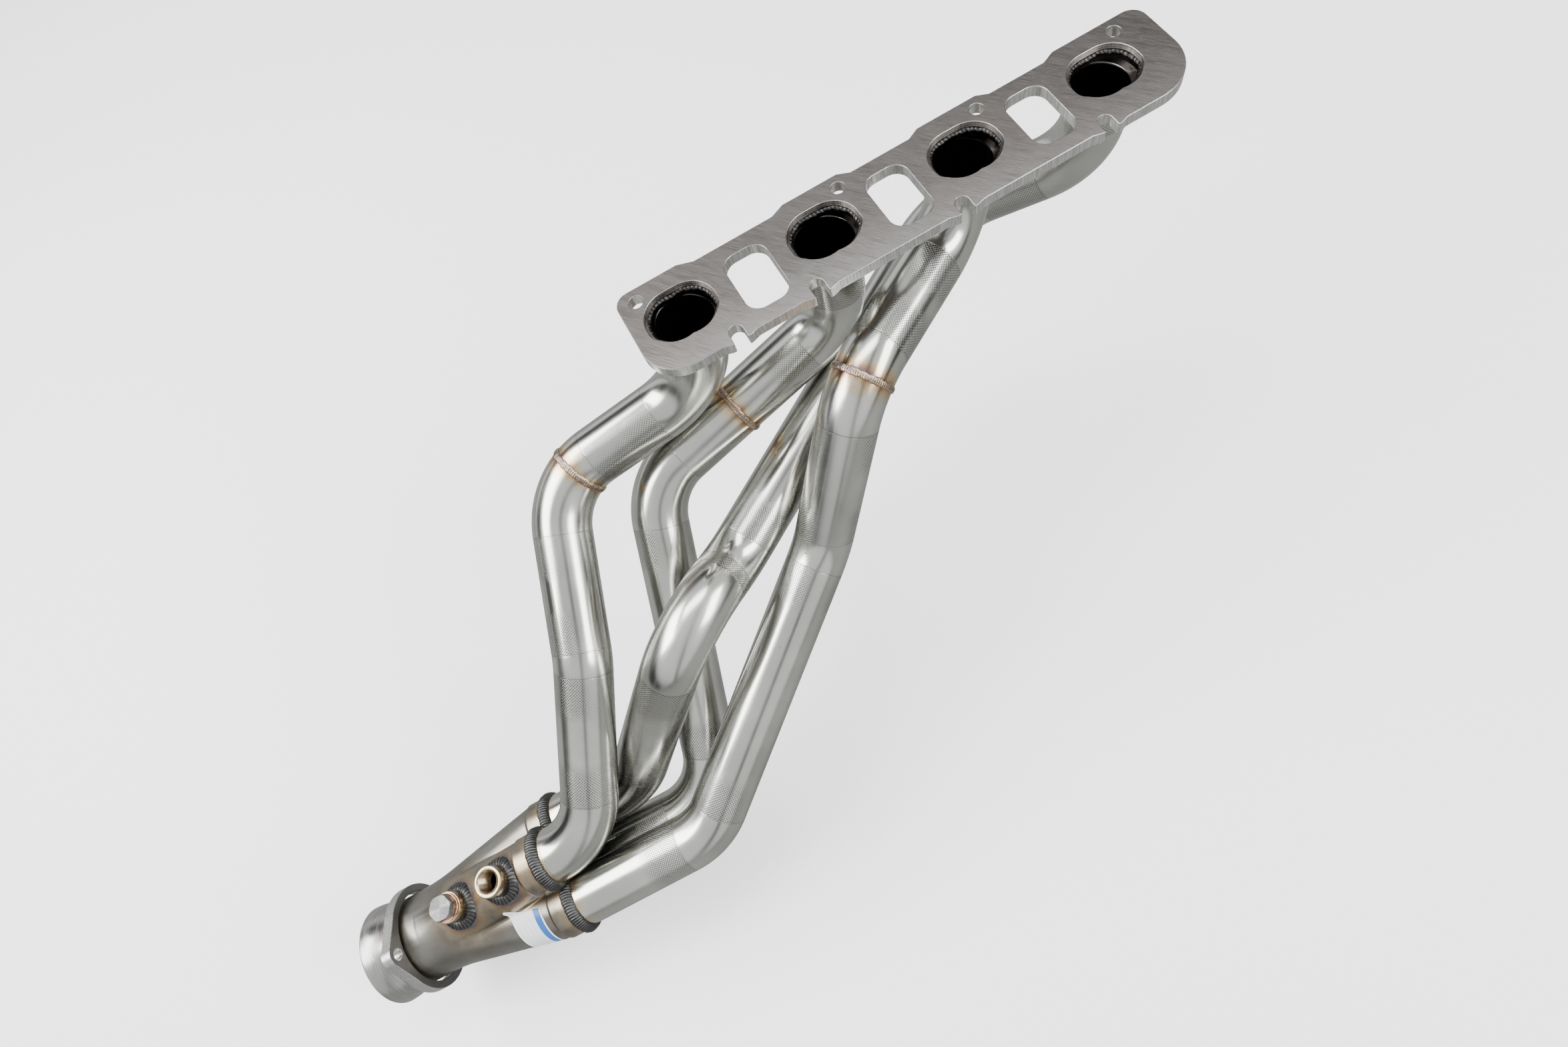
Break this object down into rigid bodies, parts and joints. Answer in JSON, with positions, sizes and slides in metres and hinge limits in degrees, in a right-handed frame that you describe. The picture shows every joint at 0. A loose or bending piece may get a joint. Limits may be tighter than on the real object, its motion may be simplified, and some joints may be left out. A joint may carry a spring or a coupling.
{
  "type": "long-tube racing exhaust header",
  "caption": "Long-tube stainless racing exhaust header: cut head flange, bent primaries, merge collector with sensor bungs, ball outlet and loose clamp flange.",
  "frame": {"origin": "centre of the middle one of three evenly spaced stud holes, on the mating face of the head flange", "axes": "+X along the flange, away from the collector; +Y in the plate, from the stud row towards the plate's tabbed edge; +Z out of the mating face, towards the cylinder head"},
  "size_m": [0.9012, 0.3627, 0.3798],
  "materials": {
    "stainless_tube": "polished stainless tube with bender marks",
    "flange_plate": "mild steel plate, diagonal ground face, laser-cut edges",
    "weld_bead": "rippled weld bead with straw and blue tint",
    "dark_weld": "dull dark rippled weld",
    "collector_steel": "brushed stainless, heat tinted",
    "outlet_steel": "circumferentially brushed stainless",
    "bung_steel": "turned, straw tinted from welding",
    "loose_flange_steel": "matte cut plate with bright edge",
    "washer_copper": "dull copper",
    "plug_steel": "bright turned hex plug",
    "label_film": "blank white film with a blue band"
  },
  "bodies": {
    "header": {"head_flange": "flange_plate", "port_stub_1": "stainless_tube", "port_stub_2": "stainless_tube", "port_stub_3": "stainless_tube", "port_stub_4": "stainless_tube", "port_weld_1": "weld_bead", "port_weld_2": "weld_bead", "port_weld_3": "weld_bead", "port_weld_4": "weld_bead", "primary_1_upper": "stainless_tube", "primary_2_upper": "stainless_tube", "primary_3_upper": "stainless_tube", "primary_4_upper": "stainless_tube", "primary_1_lower": "stainless_tube", "primary_2_lower": "stainless_tube", "primary_3_lower": "stainless_tube", "primary_4_lower": "stainless_tube", "primary_weld_1": "weld_bead", "primary_weld_2": "weld_bead", "primary_weld_3": "weld_bead", "primary_weld_4": "weld_bead", "collector_body": "collector_steel", "merge_spike": "collector_steel", "collector_weld_1": "dark_weld", "collector_weld_2": "dark_weld", "collector_weld_3": "dark_weld", "collector_weld_4": "dark_weld", "outlet_ball": "outlet_steel", "outlet_weld": "weld_bead", "open_bung": "bung_steel", "plugged_bung": "bung_steel", "open_bung_weld": "dark_weld", "plugged_bung_weld": "dark_weld", "label": "label_film"},
    "outlet_flange": {"outlet_flange": "loose_flange_steel"},
    "washer": {"sealing_washer": "washer_copper"},
    "plug": {"hex_plug": "plug_steel"}
  },
  "joints": [
    {"name": "outlet_flange_swivel", "type": "hinge", "parent": "header", "child": "outlet_flange", "pos_m": [-0.72007, -0.2334, -0.3227], "axis": [-0.9875, 0.0708, -0.1409], "continuous": true},
    {"name": "washer_lift", "type": "slide", "parent": "header", "child": "washer", "axis": [-0.1402, 0.0153, 0.99], "range_m": [0, 0.01]},
    {"name": "plug_turn", "type": "hinge", "parent": "washer", "child": "plug", "pos_m": [-0.66042, -0.23736, -0.25308], "axis": [-0.1402, 0.0153, 0.99], "range_deg": [0, 2400]}
  ],
  "couplings": [
    {"joint": "plug_turn", "follows": "washer_lift", "rad_per_m": 4188.8}
  ]
}
